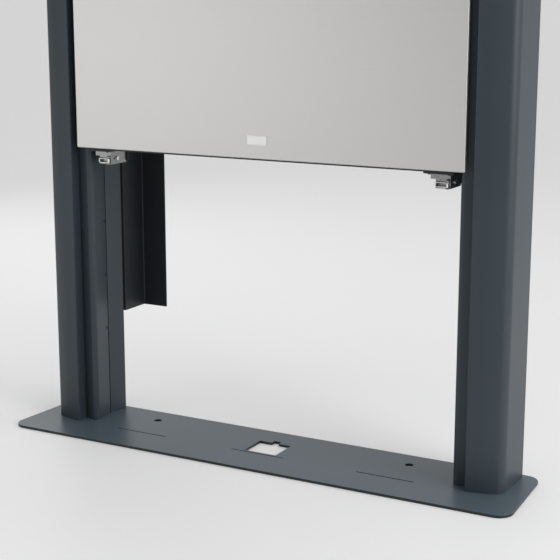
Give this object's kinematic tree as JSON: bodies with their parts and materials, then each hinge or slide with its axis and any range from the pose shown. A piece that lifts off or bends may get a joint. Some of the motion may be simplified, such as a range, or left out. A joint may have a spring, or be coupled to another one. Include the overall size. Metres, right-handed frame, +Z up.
{
  "type": "two-column floor stand with equipment cover",
  "caption": "Two hollow columns on a floor plate, tied to the wall, with a top-hung front cover over an equipment bay and pull-ring magnetic catches.",
  "frame": {"origin": "centre of the base plate's underside, on the floor", "axes": "+X to the right seen from the front, -Y to the front, +Z up"},
  "size_m": [1.2182, 0.317, 1.653],
  "materials": {
    "anthracite_column": "satin powder coat, anthracite",
    "anthracite_plate": "fine textured powder coat, anthracite",
    "dark_steel": "matt dark powder coat",
    "satin_panel": "satin silver anodised",
    "zinc": "zinc plated",
    "bright_wire": "bright nickel",
    "black_cap": "fine matt moulded",
    "badge": "blank satin plate"
  },
  "bodies": {
    "stand": {"base_plate": "anthracite_plate", "foot_screws": "zinc", "column_left": "anthracite_column", "column_right": "anthracite_column", "column_cap_left": "black_cap", "column_cap_right": "black_cap", "lower_crossbar": "dark_steel", "top_crossbar": "dark_steel", "crossbar_end_plates": "dark_steel", "crossbar_screws": "zinc", "equipment_plate": "dark_steel", "equipment_plate_screws": "zinc", "wall_profile_left": "dark_steel", "wall_profile_right": "dark_steel", "fixing_strip_left": "dark_steel", "fixing_strip_right": "dark_steel", "fixing_strip_screws": "zinc", "strike_bracket_left": "dark_steel", "strike_bracket_right": "dark_steel", "strike_screws": "zinc", "hinge_bracket_left": "dark_steel", "hinge_bracket_right": "dark_steel", "hinge_bracket_screws": "zinc", "hinge_pin_left": "bright_wire", "hinge_pin_right": "bright_wire"},
    "cover": {"front_panel": "satin_panel", "badge": "badge", "frame_bottom_rail": "dark_steel", "frame_top_rail": "dark_steel", "frame_side_rail_left": "dark_steel", "frame_side_rail_right": "dark_steel", "frame_corner_plates": "dark_steel", "hinge_leaf_left": "dark_steel", "hinge_leaf_right": "dark_steel", "hinge_leaf_screws": "zinc", "catch_plate_left": "dark_steel", "catch_plate_right": "dark_steel", "catch_plate_screws": "dark_steel", "catch_housing_left": "zinc", "catch_housing_right": "zinc", "catch_side_screws": "bright_wire", "catch_magnet_left": "bright_wire", "catch_magnet_right": "bright_wire", "pull_pin_left": "dark_steel", "pull_pin_right": "dark_steel"},
    "left_pull": {"pull_ring_left": "bright_wire"},
    "right_pull": {"pull_ring_right": "bright_wire"}
  },
  "joints": [
    {"name": "cover_hinge", "type": "hinge", "parent": "stand", "child": "cover", "pos_m": [0, -0.0045, 1.626], "axis": [-1, 0, 0], "range_deg": [0, 80]},
    {"name": "left_pull_swing", "type": "hinge", "parent": "cover", "child": "left_pull", "pos_m": [-0.3985, -0.0034, 0.627], "axis": [0, 0, 1], "range_deg": [0, 90]},
    {"name": "right_pull_swing", "type": "hinge", "parent": "cover", "child": "right_pull", "pos_m": [0.4205, -0.0034, 0.627], "axis": [0, 0, 1], "range_deg": [0, 90]}
  ]
}
